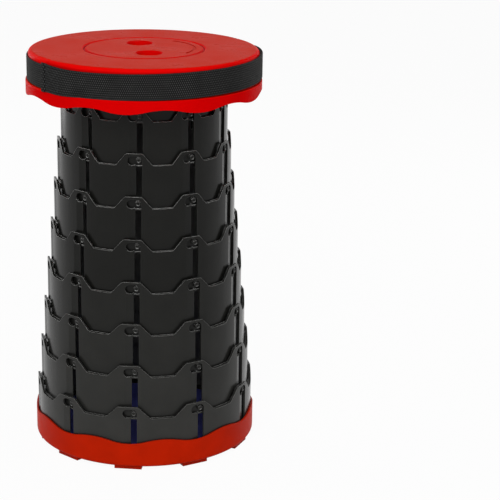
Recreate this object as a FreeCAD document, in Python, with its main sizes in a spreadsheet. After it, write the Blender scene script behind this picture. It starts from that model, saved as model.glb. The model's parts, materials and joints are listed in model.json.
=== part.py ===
import FreeCAD, Part
import math
import os
import re

import Sketcher

# Telescopic stool: nine nested rings slide out of a base and carry a round seat with a webbing strap.
# Millimetres and degrees, +Z up, origin on the ground under the middle of the base.
# The front faces -Y, and an angle round the stool is counted from there towards +X.

# Driving dimensions

SIZES = {
    # Column of rings
    "crest_count": 10,            # crests, slots and pins round each ring
    "first_ring_radius": 84.65,   # outer radius of ring 1, the innermost
    "radial_step": 4.2,           # from one ring's outer radius to the next
    "ring_wall": 2.4,
    "ring_height": 59,
    "stage_travel": 44.6,         # how far each stage slides
    "valley_depth": 12.75,        # from a crest down to a valley
    "valley_angle": 6.1,          # half the angle that a valley floor takes
    "slope_angle": 6.6,           # angle that the slope beside a crest takes
    "corner_round": 3,            # rounding where slope, crest and valley meet
    "slide_gap": 0.35,            # running gap of a sliding fit
    "bead_height": 1.3,           # guide bead round the foot of a sliding ring
    "column_angle": -5.8,         # where the first crest of ring 1 stands
    "ring_turn": -0.38,           # turn of each ring against the next smaller one

    # Pins and slots
    "pin_diameter": 6,
    "pin_clearance": 0.3,
    "pin_drop": 7.5,              # pin centre below the crest when drawn out
    "pin_reach": 1.3,             # how far a pin enters the wall round it
    "pin_chamfer": 0.6,
    "dish_diameter": 3.4,         # shallow dish in the end of a pin
    "dish_depth": 0.5,
    "pin_land": 2.2,              # solid wall above the pins' own roots
    "slot_angle": 3,              # slot beside the middle of its crest
    "track_skin": 0.8,            # wall left outside the blind end of a slot
    "pocket_radius": 5,           # locking pocket beside the top of a slot
    "pocket_offset": 6.9,         # pocket centre beside the slot centre
    "strip_depth": 1.7,           # how deep the strip below a pocket has run at the slot's middle
    "strip_lead": 0.1,            # how far over the face the strip's plane starts

    # Seat
    "seat_radius": 125,
    "seat_plate": 2.8,
    "seat_wall": 2.4,
    "skirt_wall": 2.6,
    "edge_round": 4.6,            # rounding of the seat's upper edge
    "groove_depth": 3,            # recess for the strap
    "groove_drop": 4.8,           # seat top to the upper edge of the strap's recess
    "groove_height": 26.4,
    "skirt_height": 11.8,         # recess down to the middle of the wavy edge
    "skirt_round": 1,
    "wave_height": 2.3,           # how far a wavy edge swings to each side
    "wave_angle": -9,             # where the low points of the waves start
    "crown_gap": 0.3,             # ring crests to the seat plate when collapsed

    # Cap in the middle of the seat
    "cap_radius": 63.1,
    "cap_seam": 0.4,
    "cap_rim": 2.2,               # thickness of the cap's disc
    "cap_chamfer_width": 2,
    "cap_chamfer_height": 1.2,
    "cap_angle": 9.7,             # turn of the line of the finger wells
    "ledge_width": 3.5,
    "ledge_plate": 2,
    "collar_wall": 2.5,
    "snap_wall": 2.2,
    "snap_depth": 4.6,
    "snap_bead": 0.8,
    "snap_bead_height": 1.2,
    "well_diameter": 26,
    "well_spread": 30,            # middle of the cap to the middle of a well
    "well_depth": 14,
    "well_wall": 1.8,
    "well_lip": 2,
    "well_floor_round": 5,
    "moon_radius": 53.2,          # shallow crescent groove in the cap
    "moon_width": 3.4,
    "moon_angle": 45,             # half the angle that it takes
    "moon_depth": 0.6,

    # Ribs, bosses and screws under the seat
    "rib_wall": 2,
    "seat_rib_depth": 8,
    "boss_diameter": 9,
    "boss_height": 10,
    "seat_screw_circle": 75,
    "seat_flange_radius": 68,     # bore of the flange inside ring 1
    "flange_plate": 2.5,
    "screw_count": 5,
    "screw_shank": 3.4,
    "screw_hole_gap": 0.1,        # a screw's shank to the side of its hole
    "screw_head": 7,
    "screw_head_height": 1.9,
    "screw_grip": 9,              # screw length inside a seat boss
    "recess_width": 1,            # cross recess in a screw head
    "recess_length": 3.6,
    "recess_depth": 1,
    "pilot_spare": 0.6,           # pilot hole beyond the tip of its screw

    # Base
    "base_radius": 120.6,
    "base_wall": 2,
    "base_height": 31.8,          # ground to the middle of the wavy rim
    "base_round": 3,
    "foot_height": 3.6,
    "foot_width": 29,
    "foot_length": 13.5,
    "foot_inset": 3.3,            # outside of the base to the outside of a foot
    "rim_land": 2,                # width of the lower edge inside the rounding
    "floor_rise": 2.6,            # lower edge to the underside of the outer floor
    "floor_plate": 2.5,
    "flange_bore": 104,           # bore of the flange under ring 9
    "flange_gap": 0.3,            # that flange to the raised floor
    "base_screw_circle": 110,
    "base_screw_tip": 0.2,        # tip of a base screw below the flange's top
    "base_rib_rise": 0.4,         # ribs clear of the lower edge
    "hub_radius": 20,
    "rib_ring_radius": 60,
    "nest_gap": 0.2,              # rings above the floor when collapsed

    # Strap
    "webbing_width": 26,
    "webbing": 1.4,               # thickness of the webbing
    "webbing_gap": 0.1,           # from one layer to what lies under it
    "foot_spread": 27,            # half the distance between the handle's ends
    "tail_angle": -56,            # where the loose end of the strap stops
    "slider_angle": 140,
    "slider_length": 45,
    "slider_height": 31,
    "slider_plate": 4,
    "slider_slot": 11.5,
    "slider_bar": 4,              # middle bar that the webbing goes round
    "slider_gap": 0.2,
    "label_angle": 160,
    "label_width": 12,
    "label_height": 12,
    "label_drop": 5,              # label's middle below the middle of the strap
    "label_plate": 0.4,

    # Handle
    "handle_stand": 14,           # fold line of the handle outside the seat
    "handle_reach": 54,           # fold line to the end of the loop
    "handle_slant": 18,           # slant of the loop's sides
    "handle_lap": 5,              # lap of the loop on its ends
    "handle_gap": 0.3,

    # How far a cut reaches past what it cuts
    "spare": 1,
}

RING_COUNT = 9
SMALLEST_CUT = 0.1              # cubic millimetres that a cut takes away at least

doc = FreeCAD.newDocument("telescopic_stool")
sheet = doc.addObject("Spreadsheet::Sheet", "dims")
for row, (name, size) in enumerate(SIZES.items(), start=1):
    sheet.set(f"A{row}", name)
    sheet.set(f"B{row}", str(size))
    sheet.setAlias(f"B{row}", name)
doc.recompute()


# Formulas over the sheet's cells

def bound(formula):
    """The formula with each dimension's name written as its cell."""
    def cell(match):
        word = match.group(0)
        return "dims." + word if word in SIZES else word
    return re.sub(r"[a-z_]+", cell, formula)


def value(formula):
    """The number that the formula gives now."""
    return float(sheet.evalExpression(bound(formula)))


PERIOD = "(360 / crest_count)"
FLOOR_TOP = "(foot_height + floor_rise + floor_plate + flange_plate)"
NEST_LEVEL = f"({FLOOR_TOP} + nest_gap)"
SEAT_LEVEL = f"({NEST_LEVEL} + ring_height + crown_gap + {RING_COUNT - 1} * stage_travel)"
PIN_LEVEL = "(ring_height - stage_travel - pin_drop)"
SLOT_HALF = "(pin_diameter / 2 + pin_clearance)"
GROOVE_RADIUS = "(seat_radius - groove_depth)"
GROOVE_FLOOR = "(seat_plate - groove_drop - groove_height)"
STRAP_MIDDLE = f"({GROOVE_FLOOR} + groove_height / 2)"
BAND_INSIDE = f"({GROOVE_RADIUS} + webbing_gap)"
BAND_OUTSIDE = f"({BAND_INSIDE} + webbing)"
TAIL_INSIDE = f"({BAND_OUTSIDE} + webbing_gap)"
SLIDER_INSIDE = "(seat_radius + slider_gap)"
SLIDER_HALF_ANGLE = f"(slider_length * 90 / pi / {SLIDER_INSIDE})"


def ring_radius(number):
    """Outer radius of a ring, counted from the innermost."""
    return f"(first_ring_radius + {number - 1} * radial_step)"


def ring_level(number):
    """Foot of a ring in the drawn-out stool."""
    return f"({NEST_LEVEL} + {RING_COUNT - number} * stage_travel)"


# Bodies and sketches

def new_body(label, level="0", angle="0", distance="0"):
    """Body at a height, turned about the stool's axis and set back along +Y."""
    body = doc.addObject("PartDesign::Body", label)
    body.Label = label
    turned = FreeCAD.Rotation(FreeCAD.Vector(0, 0, 1), value(angle))
    body.Placement = FreeCAD.Placement(FreeCAD.Vector(0, value(distance), value(level)), turned)
    body.setExpression("Placement.Base.y", bound(distance))
    body.setExpression("Placement.Base.z", bound(level))
    if abs(value(angle)) > 0:
        body.setExpression("Placement.Rotation.Angle", bound(angle))
    return body


def origin_feature(body, role):
    """Plane or axis of the body's own origin."""
    return next(item for item in body.Origin.OriginFeatures if item.Role == role)


def new_sketch(body, name, plane, lift="0", turn="0", shift="0"):
    """Sketch on an origin plane, lifted off it, turned about its upright axis or shifted across."""
    sketch = body.newObject("Sketcher::SketchObject", name)
    sketch.AttachmentSupport = [(origin_feature(body, plane), "")]
    sketch.MapMode = "FlatFace"
    place = FreeCAD.Vector(value(shift), 0, value(lift))
    turned = FreeCAD.Rotation(FreeCAD.Vector(0, 1, 0), value(turn))
    sketch.AttachmentOffset = FreeCAD.Placement(place, turned)
    sketch.setExpression("AttachmentOffset.Base.x", bound(shift))
    sketch.setExpression("AttachmentOffset.Base.z", bound(lift))
    if abs(value(turn)) > 0:
        sketch.setExpression("AttachmentOffset.Rotation.Angle", bound(turn))
    return sketch


def fix(sketch, kind, name, formula, *elements):
    """Dimension in a sketch, named and bound to a formula."""
    index = sketch.addConstraint(Sketcher.Constraint(kind, *elements, value(formula)))
    sketch.renameConstraint(index, name)
    sketch.setExpression(f"Constraints.{name}", bound(formula))


def arc_centre(start, end, axis, coordinate):
    """Centre of an arc between two points, one of its coordinates being known."""
    run = end - start
    middle = (start + end) * 0.5
    if axis == "across":
        return FreeCAD.Vector(coordinate, middle.y - (coordinate - middle.x) * run.x / run.y, 0)
    return FreeCAD.Vector(middle.x - (coordinate - middle.y) * run.y / run.x, coordinate, 0)


def bearing(centre, point):
    """Direction of a point from a centre, in radians."""
    return math.atan2(point.y - centre.y, point.x - centre.x)


def outline(sketch, corners, arcs=None):
    """Closed outline in a sketch. A corner is a pair of formulas, across and up.

    Edge n runs from corner n to the next. arcs gives, for an edge that is an arc, the axis
    of the known coordinate of its centre, that coordinate and the way the arc turns.
    """
    arcs = arcs or {}
    points = [FreeCAD.Vector(value(across), value(up), 0) for across, up in corners]
    first = sketch.GeometryCount
    ends = []
    for number, start in enumerate(points):
        end = points[(number + 1) % len(points)]
        if number not in arcs:
            sketch.addGeometry(Part.LineSegment(start, end), False)
            ends.append((1, 2))
            continue
        axis, coordinate, way = arcs[number]
        centre = arc_centre(start, end, axis, value(coordinate))
        circle = Part.Circle(centre, FreeCAD.Vector(0, 0, 1), (start - centre).Length)
        from_point, to_point = (start, end) if way == "left" else (end, start)
        from_angle = bearing(centre, from_point)
        to_angle = bearing(centre, to_point)
        if to_angle < from_angle:
            to_angle += 2 * math.pi
        sketch.addGeometry(Part.ArcOfCircle(circle, from_angle, to_angle), False)
        ends.append((1, 2) if way == "left" else (2, 1))
    count = len(points)
    for number in range(count):
        after = (number + 1) % count
        joint = (first + number, ends[number][1], first + after, ends[after][0])
        sketch.addConstraint(Sketcher.Constraint("Coincident", *joint))
    for number, (across, up) in enumerate(corners):
        corner = (-1, 1, first + number, ends[number][0])
        fix(sketch, "DistanceX", f"across_{first + number}", across, *corner)
        fix(sketch, "DistanceY", f"up_{first + number}", up, *corner)
    for number, (axis, coordinate, way) in arcs.items():
        kind = "DistanceX" if axis == "across" else "DistanceY"
        fix(sketch, kind, f"centre_{first + number}", coordinate, -1, 1, first + number, 3)


def rectangle(sketch, left, right, low, high):
    """Rectangle in a sketch between four formulas."""
    outline(sketch, [(left, low), (right, low), (right, high), (left, high)])


def round_hole(sketch, across, up, diameter):
    """Circle in a sketch."""
    centre = FreeCAD.Vector(value(across), value(up), 0)
    circle = Part.Circle(centre, FreeCAD.Vector(0, 0, 1), value(diameter) / 2)
    index = sketch.addGeometry(circle, False)
    fix(sketch, "DistanceX", f"across_{index}", across, -1, 1, index, 3)
    fix(sketch, "DistanceY", f"up_{index}", up, -1, 1, index, 3)
    fix(sketch, "Diameter", f"diameter_{index}", diameter, index)


# Features

def revolve(body, sketch, angle="360"):
    """Revolution about the sketch's upright axis, to both sides of its plane."""
    feature = body.newObject("PartDesign::Revolution", sketch.Name + "_turned")
    feature.Profile = sketch
    feature.ReferenceAxis = (sketch, ["V_Axis"])
    feature.Midplane = True
    feature.setExpression("Angle", bound(angle))
    sketch.Visibility = False
    return feature


def extrude(body, sketch, length, kind="PartDesign::Pad", backwards=False, both_ways=False):
    """Pad or pocket of a set length."""
    feature = body.newObject(kind, sketch.Name + "_" + kind.split("::")[1].lower())
    feature.Profile = sketch
    feature.Type = "Length"
    feature.Reversed = backwards
    feature.Midplane = both_ways
    feature.setExpression("Length", bound(length))
    sketch.Visibility = False
    return feature


def cut_outwards(body, sketch, length):
    """Pocket from the stool's axis out through the front wall."""
    return extrude(body, sketch, length, kind="PartDesign::Pocket", backwards=True)


def repeat(body, features, count="crest_count"):
    """Features repeated round the stool's axis."""
    pattern = body.newObject("PartDesign::PolarPattern", features[-1].Name + "_all_round")
    pattern.Originals = features
    pattern.Axis = (origin_feature(body, "Z_Axis"), [""])
    pattern.Angle = 360
    pattern.setExpression("Occurrences", bound(count))
    body.Tip = pattern
    return pattern


def wavy_edge(body, name, radius, level, opens_up, turn):
    """Cut an edge to a wave with one swing to each crest of the rings.

    The cut spans one period, in arcs that run level at both ends. It lies above the wave
    where the edge opens up, and below it otherwise.
    """
    sign = "1" if opens_up else "-1"
    half = f"(({radius} + spare) * sin({PERIOD} / 2))"
    near = f"({level} + {sign} * wave_height)"
    peak = f"({level} - {sign} * wave_height)"
    far = f"({near} + {sign} * spare)"
    sketch = new_sketch(body, name, "XZ_Plane", turn=turn)
    end_way, middle_way = ("right", "left") if opens_up else ("left", "right")
    corners = [
        (f"-{half}", near),
        (f"-{half} / 2", level),
        ("0", peak),
        (f"{half} / 2", level),
        (half, near),
        (half, far),
        (f"-{half}", far),
    ]
    arcs = {
        0: ("across", f"-{half}", end_way),
        1: ("across", "0", middle_way),
        2: ("across", "0", middle_way),
        3: ("across", half, end_way),
    }
    outline(sketch, corners, arcs)
    repeat(body, [cut_outwards(body, sketch, f"{radius} + spare")])


# Rings

def ring_profile(number, radius):
    """Half section of a ring, as corners of radius and height above its foot."""
    inside = f"({radius} - ring_wall)"
    bead = f"({radius} + radial_step - ring_wall - slide_gap)"
    if number == RING_COUNT:
        return [
            ("flange_bore", "-nest_gap - flange_plate"),
            (radius, "-nest_gap - flange_plate"),
            (radius, "ring_height"),
            (inside, "ring_height"),
            (inside, "-nest_gap"),
            ("flange_bore", "-nest_gap"),
        ]
    foot = [(inside, "0"), (bead, "0"), (bead, "bead_height"), (radius, "bead_height")]
    if number > 1:
        return foot + [(radius, "ring_height"), (inside, "ring_height")]
    top = "(ring_height + crown_gap)"
    flange = f"({top} - boss_height)"
    return foot + [
        (radius, top),
        (inside, top),
        (inside, flange),
        ("seat_flange_radius", flange),
        ("seat_flange_radius", f"{flange} - flange_plate"),
        (inside, f"{flange} - flange_plate"),
    ]


def cut_valleys(body, radius):
    """Rounded notches between the crests of a ring's upper edge."""
    low = f"({radius} * sin(valley_angle))"
    high = f"({radius} * sin(valley_angle + slope_angle))"
    run = f"({high} - {low})"
    slope = f"(sqrt(valley_depth ^ 2 + {run} ^ 2))"
    tangent = f"(corner_round * ({slope} - {run}) / valley_depth)"
    along = f"({tangent} * {run} / {slope})"
    rise = f"({tangent} * valley_depth / {slope})"
    floor = "(ring_height - valley_depth)"
    right_side = [
        (f"({low} - {tangent})", floor),
        (f"({low} + {along})", f"{floor} + {rise}"),
        (f"({high} - {along})", f"ring_height - {rise}"),
        (f"({high} + {tangent})", "ring_height"),
        (f"({high} + {tangent})", "ring_height + spare"),
    ]
    left_side = [(f"-{across}", up) for across, up in reversed(right_side)]
    arcs = {
        0: ("across", right_side[0][0], "left"),
        2: ("across", right_side[3][0], "right"),
        6: ("across", left_side[1][0], "right"),
        8: ("across", left_side[4][0], "left"),
    }
    sketch = new_sketch(body, body.Name + "_valley", "XZ_Plane", turn=f"{PERIOD} / 2")
    outline(sketch, right_side + left_side, arcs)
    repeat(body, [cut_outwards(body, sketch, f"{radius} + spare")])


def cut_slots(body, radius):
    """Slots for the next ring's pins, each with a round locking pocket to the left of its top.

    Below the pocket the face is planed off on a slant that runs down to the slot.
    """
    middle = f"({radius} * sin(slot_angle))"
    left = f"({middle} - {SLOT_HALF})"
    right = f"({middle} + {SLOT_HALF})"
    pocket = f"({middle} - pocket_offset)"
    pin_top = "(ring_height - pin_drop)"
    roof = f"({pin_top} + pocket_radius)"
    drop = f"sqrt(pocket_radius ^ 2 - (pocket_offset - {SLOT_HALF}) ^ 2)"
    foot = f"({PIN_LEVEL} + pin_diameter / 2 + pin_land)"
    corners = [
        (left, foot),
        (left, f"{pin_top} - {drop}"),
        (pocket, roof),
        (f"{right} - pocket_radius", roof),
        (right, pin_top),
        (right, foot),
    ]
    arcs = {
        1: ("across", pocket, "right"),
        3: ("across", f"{right} - pocket_radius", "right"),
    }
    slot = new_sketch(body, body.Name + "_slot", "XZ_Plane")
    outline(slot, corners, arcs)
    through = cut_outwards(body, slot, f"{radius} + spare")
    track = new_sketch(body, body.Name + "_track", "XZ_Plane")
    rectangle(track, left, right, f"{PIN_LEVEL} - {SLOT_HALF}", f"{foot} + spare")
    blind = cut_outwards(body, track, f"{radius} - track_skin")
    start = f"({pocket} - pocket_radius)"
    outside = f"-1 * ({radius} + spare)"
    strip = new_sketch(body, body.Name + "_strip", "XY_Plane", lift=foot)
    outline(strip, [
        (start, f"-1 * sqrt({radius} ^ 2 - {start} ^ 2) - strip_lead"),
        (start, outside),
        (middle, outside),
        (middle, f"strip_depth - sqrt({radius} ^ 2 - {middle} ^ 2)"),
    ])
    slanted = extrude(body, strip, f"{pin_top} - {foot}", kind="PartDesign::Pocket", backwards=True)
    repeat(body, [through, blind, slanted])


def add_pins(body, radius):
    """Pins round the foot of a ring, which run in the slots of the ring outside it."""
    across = f"({radius} * sin(slot_angle + ring_turn))"
    root = f"({radius} - track_skin / 2)"
    length = "(radial_step - ring_wall + pin_reach + track_skin / 2 - pin_chamfer)"
    shaft = new_sketch(body, body.Name + "_pin", "XZ_Plane", lift=root)
    round_hole(shaft, across, PIN_LEVEL, "pin_diameter")
    tip = new_sketch(body, body.Name + "_pin_tip", "XZ_Plane", lift=f"{root} + {length}")
    round_hole(tip, across, PIN_LEVEL, "pin_diameter")
    shaft_pad = extrude(body, shaft, length)
    tip_pad = extrude(body, tip, "pin_chamfer")
    tip_pad.TaperAngle = -45
    dish = new_sketch(body, body.Name + "_pin_dish", "XZ_Plane", lift=f"{root} + {length} + pin_chamfer")
    round_hole(dish, across, PIN_LEVEL, "dish_diameter")
    hollow = extrude(body, dish, "dish_depth", kind="PartDesign::Pocket")
    repeat(body, [shaft_pad, tip_pad, hollow])


def drill(body, name, plane_level, circle, diameter, depth, downwards, angle="0"):
    """Ring of round holes for the screws."""
    sketch = new_sketch(body, name, "XY_Plane", lift=plane_level)
    round_hole(sketch, f"{circle} * sin({angle})", f"-{circle} * cos({angle})", diameter)
    hole = extrude(body, sketch, depth, kind="PartDesign::Pocket", backwards=not downwards)
    repeat(body, [hole], "screw_count")


def make_ring(number):
    """One ring of the column."""
    radius = ring_radius(number)
    angle = f"column_angle + {number - 1} * ring_turn"
    body = new_body(f"ring_{number}", level=ring_level(number), angle=angle)
    section = new_sketch(body, body.Name + "_section", "XZ_Plane")
    outline(section, ring_profile(number, radius))
    revolve(body, section)
    if number > 1:
        cut_valleys(body, radius)
        cut_slots(body, radius)
    if number < RING_COUNT:
        add_pins(body, radius)
    return body


SCREW_HOLE = "(screw_shank + 2 * screw_hole_gap)"


def drill_first_ring(body):
    """Screw holes in the flange inside ring 1, lined up with the seat's bosses."""
    flange = "(ring_height + crown_gap - boss_height)"
    drill(body, "flange_hole", f"{flange} + spare", "seat_screw_circle", SCREW_HOLE,
          "flange_plate + 2 * spare", True, "(wave_angle - column_angle)")


def drill_last_ring(body):
    """Screw holes in the flange under ring 9, lined up with the base's."""
    turn = f"(wave_angle + {PERIOD} / 2 - column_angle - {RING_COUNT - 1} * ring_turn)"
    drill(body, "flange_hole_low", "spare", "base_screw_circle", SCREW_HOLE,
          "flange_plate + nest_gap + 2 * spare", True, turn)


# Seat

def make_seat_shell():
    """Seat plate with its rim, strap recess, wavy skirt, ribs and screw bosses."""
    body = new_body("seat_shell", level=SEAT_LEVEL, angle="wave_angle")
    recess = "(cap_radius + cap_seam)"
    bore = f"({recess} - ledge_width)"
    collar = f"({recess} + collar_wall)"
    ledge = "(seat_plate - cap_rim)"
    wall_inside = f"({GROOVE_RADIUS} - seat_wall)"
    skirt_inside = "(seat_radius - skirt_wall)"
    web = f"({GROOVE_FLOOR} - skirt_wall)"
    edge = f"({GROOVE_FLOOR} - skirt_height)"
    foot = f"({edge} - wave_height - spare / 2)"
    corners = [
        (recess, "seat_plate - cap_chamfer_height"),
        (recess, ledge),
        (bore, ledge),
        (bore, f"{ledge} - ledge_plate"),
        (collar, f"{ledge} - ledge_plate"),
        (collar, "0"),
        (wall_inside, "0"),
        (wall_inside, web),
        (skirt_inside, web),
        (skirt_inside, foot),
        ("seat_radius", foot),
        ("seat_radius", f"{GROOVE_FLOOR} - skirt_round"),
        ("seat_radius - skirt_round", GROOVE_FLOOR),
        (GROOVE_RADIUS, GROOVE_FLOOR),
        (GROOVE_RADIUS, "seat_plate - edge_round"),
        (f"{GROOVE_RADIUS} - edge_round", "seat_plate"),
        (f"{recess} + cap_chamfer_width", "seat_plate"),
    ]
    arcs = {
        11: ("across", "seat_radius - skirt_round", "left"),
        14: ("across", f"{GROOVE_RADIUS} - edge_round", "left"),
    }
    section = new_sketch(body, "seat_section", "XZ_Plane")
    outline(section, corners, arcs)
    revolve(body, section)
    wavy_edge(body, "skirt_wave", "seat_radius", edge, opens_up=False, turn=f"{PERIOD} / 2")
    ring_inside = f"({ring_radius(1)} - ring_wall)"
    rib = new_sketch(body, "seat_rib", "XY_Plane", lift="spare")
    rectangle(rib, "-rib_wall / 2", "rib_wall / 2", f"-({ring_inside} - slide_gap)",
              f"-({collar} - spare)")
    rib_pad = extrude(body, rib, "seat_rib_depth + spare", backwards=True)
    boss = new_sketch(body, "seat_boss", "XY_Plane", lift="spare")
    round_hole(boss, "0", "-seat_screw_circle", "boss_diameter")
    boss_pad = extrude(body, boss, "boss_height + spare", backwards=True)
    repeat(body, [rib_pad], "crest_count")
    repeat(body, [boss_pad], "screw_count")
    drill(body, "boss_hole", "-boss_height - spare", "seat_screw_circle", SCREW_HOLE,
          "screw_grip + pilot_spare + spare", False)
    return body


def make_seat_cap():
    """Snap-in cap with two blind finger wells and a crescent groove."""
    body = new_body("seat_cap", level=SEAT_LEVEL, angle="cap_angle")
    under = "(seat_plate - cap_rim)"
    bore = "(cap_radius + cap_seam - ledge_width)"
    snap = f"({bore} - cap_seam)"
    snap_inside = f"({snap} - snap_wall)"
    bead_top = f"({under} - ledge_plate - webbing_gap)"
    corners = [
        ("0", under),
        (snap_inside, under),
        (snap_inside, f"{under} - snap_depth"),
        (snap, f"{under} - snap_depth"),
        (f"{snap} + snap_bead", f"{bead_top} - snap_bead_height"),
        (f"{snap} + snap_bead", f"{bead_top} - snap_bead / 2"),
        (snap, bead_top),
        (snap, under),
        ("cap_radius", under),
        ("cap_radius", "seat_plate - cap_chamfer_height"),
        ("cap_radius - cap_chamfer_width", "seat_plate"),
        ("0", "seat_plate"),
    ]
    section = new_sketch(body, "cap_section", "XZ_Plane")
    outline(section, corners)
    revolve(body, section)
    cup = new_sketch(body, "well_cup", "XY_Plane", lift="seat_plate - spare")
    well = new_sketch(body, "well", "XY_Plane", lift="seat_plate")
    for side in ("-", ""):
        round_hole(cup, "0", f"{side}well_spread", "well_diameter + 2 * well_wall")
        round_hole(well, "0", f"{side}well_spread", "well_diameter")
    extrude(body, cup, "well_depth + well_wall - spare", backwards=True)
    pocket = extrude(body, well, "well_depth", kind="PartDesign::Pocket")
    doc.recompute()
    floors = round_rims(body, "well_floors", pocket, "seat_plate - well_depth", "well_floor_round")
    round_rims(body, "well_lips", floors, "seat_plate", "well_lip")
    cut_crescent(body)
    return body


def round_rims(body, name, base, level, radius):
    """Round the wells' circular edges at one height."""
    doc.recompute()
    rims = [
        f"Edge{number}"
        for number, edge in enumerate(base.Shape.Edges, start=1)
        if is_rim(edge, value("well_diameter") / 2, value(level))
    ]
    fillet = body.newObject("PartDesign::Fillet", name)
    fillet.Base = (base, rims)
    fillet.setExpression("Radius", bound(radius))
    return fillet


def is_rim(edge, radius, level):
    """Whether an edge is a circle of this radius at this height of its body."""
    if not isinstance(edge.Curve, Part.Circle):
        return False
    return abs(edge.Curve.Radius - radius) < 1e-4 and abs(edge.Curve.Center.z - level) < 1e-4


def cut_crescent(body):
    """Shallow crescent groove to the right of the finger wells."""
    inner = "(moon_radius - moon_width / 2)"
    outer = "(moon_radius + moon_width / 2)"
    corners = [
        (f"{inner} * cos(moon_angle)", f"-{inner} * sin(moon_angle)"),
        (f"{outer} * cos(moon_angle)", f"-{outer} * sin(moon_angle)"),
        (f"{outer} * cos(moon_angle)", f"{outer} * sin(moon_angle)"),
        (f"{inner} * cos(moon_angle)", f"{inner} * sin(moon_angle)"),
    ]
    arcs = {1: ("across", "0", "left"), 3: ("across", "0", "right")}
    sketch = new_sketch(body, "crescent", "XY_Plane", lift="seat_plate")
    outline(sketch, corners, arcs)
    extrude(body, sketch, "moon_depth", kind="PartDesign::Pocket")


# Screws

def make_screws(label, level, angle, circle, shank_length):
    """Ring of upright screws, heads down, as one group. The level is that of the heads' tops."""
    body = new_body(label, level=level, angle=angle)
    section = new_sketch(body, label + "_section", "XZ_Plane", shift=circle)
    corners = [
        ("0", "-screw_head_height"),
        ("screw_head / 2", "-screw_head_height"),
        ("screw_head / 2", "0"),
        ("screw_shank / 2", "0"),
        ("screw_shank / 2", shank_length),
        ("0", shank_length),
    ]
    outline(section, corners)
    turned = revolve(body, section)
    recess = new_sketch(body, label + "_recess", "XY_Plane", lift="-screw_head_height",
                        shift=circle)
    narrow = "(recess_width / 2)"
    wide = "(recess_length / 2)"
    cross = [
        (narrow, narrow), (wide, narrow), (wide, f"-{narrow}"), (narrow, f"-{narrow}"),
        (narrow, f"-{wide}"), (f"-{narrow}", f"-{wide}"), (f"-{narrow}", f"-{narrow}"),
        (f"-{wide}", f"-{narrow}"), (f"-{wide}", narrow), (f"-{narrow}", narrow),
        (f"-{narrow}", wide), (narrow, wide),
    ]
    outline(recess, cross)
    cut = extrude(body, recess, "recess_depth", kind="PartDesign::Pocket", backwards=True)
    repeat(body, [turned, cut], "screw_count")
    return body


# Base

def make_base_tray():
    """Base with its wavy rim, stepped floor, ribs and feet."""
    body = new_body("base_tray", angle="wave_angle")
    lower_edge = "foot_height"
    outer_under = "(foot_height + floor_rise)"
    outer_top = f"({outer_under} + floor_plate)"
    inner_under = f"({FLOOR_TOP} - floor_plate)"
    step = "(flange_bore - flange_gap)"
    wall_inside = "(base_radius - base_wall)"
    land = "(base_radius - base_round - rim_land)"
    rim = "(base_height + wave_height + spare / 2)"
    corners = [
        ("0", inner_under),
        (f"{step} - floor_plate", inner_under),
        (f"{step} - floor_plate", outer_under),
        (land, outer_under),
        (land, lower_edge),
        ("base_radius - base_round", lower_edge),
        ("base_radius", f"{lower_edge} + base_round"),
        ("base_radius", rim),
        (wall_inside, rim),
        (wall_inside, outer_top),
        (step, outer_top),
        (step, FLOOR_TOP),
        ("0", FLOOR_TOP),
    ]
    arcs = {5: ("across", "base_radius - base_round", "left")}
    section = new_sketch(body, "base_section", "XZ_Plane")
    outline(section, corners, arcs)
    revolve(body, section)
    wavy_edge(body, "base_wave", "base_radius", "base_height", opens_up=True, turn="0")
    rib_foot = "(foot_height + base_rib_rise)"
    rib_top = f"({inner_under} + floor_plate / 2)"
    for radius in ("hub_radius", "rib_ring_radius"):
        round_rib = new_sketch(body, radius.replace("radius", "rib"), "XZ_Plane")
        rectangle(round_rib, f"{radius} - rib_wall", radius, rib_foot, rib_top)
        revolve(body, round_rib)
    rib = new_sketch(body, "base_rib", "XY_Plane", lift=rib_foot)
    rectangle(rib, "-rib_wall / 2", "rib_wall / 2", f"-({step} - floor_plate / 2)",
              "-(hub_radius - rib_wall / 2)")
    rib_pad = extrude(body, rib, f"{rib_top} - {rib_foot}")
    foot = new_sketch(body, "foot", "XY_Plane")
    foot_front = "(base_radius - foot_inset)"
    rectangle(foot, "-foot_width / 2", "foot_width / 2", f"-{foot_front}",
              f"-({foot_front} - foot_length)")
    foot_pad = extrude(body, foot, f"{outer_under} + floor_plate / 2")
    repeat(body, [rib_pad, foot_pad])
    drill(body, "base_hole", f"{outer_under} - spare", "base_screw_circle", SCREW_HOLE,
          "floor_plate + 2 * spare", False, f"({PERIOD} / 2)")
    return body


# Strap

def make_wrap(label, inside, outside, height, angle, middle, drop="0"):
    """Piece of webbing or trim wrapped round the seat's rim, given by its middle and its angle."""
    body = new_body(label, level=f"{SEAT_LEVEL} + {STRAP_MIDDLE} - {drop}",
                    angle=f"{middle} - 90")
    section = new_sketch(body, label + "_section", "XZ_Plane")
    rectangle(section, inside, outside, f"-{height} / 2", f"{height} / 2")
    revolve(body, section, angle)
    return body


def make_slider():
    """Buckle frame with two slots and a middle bar, bent to the rim."""
    body = make_wrap("strap_slider", SLIDER_INSIDE, f"{SLIDER_INSIDE} + slider_plate",
                     "slider_height", f"2 * {SLIDER_HALF_ANGLE}", "slider_angle")
    slots = new_sketch(body, "slider_slots", "YZ_Plane", lift=f"{SLIDER_INSIDE} - 2 * spare")
    near = "(slider_bar / 2)"
    far = f"({near} + slider_slot)"
    half = "(webbing_width / 2 + slider_gap)"
    rectangle(slots, near, far, f"-{half}", half)
    rectangle(slots, f"-{far}", f"-{near}", f"-{half}", half)
    extrude(body, slots, "slider_plate + 4 * spare", kind="PartDesign::Pocket", backwards=True)
    return body


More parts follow.
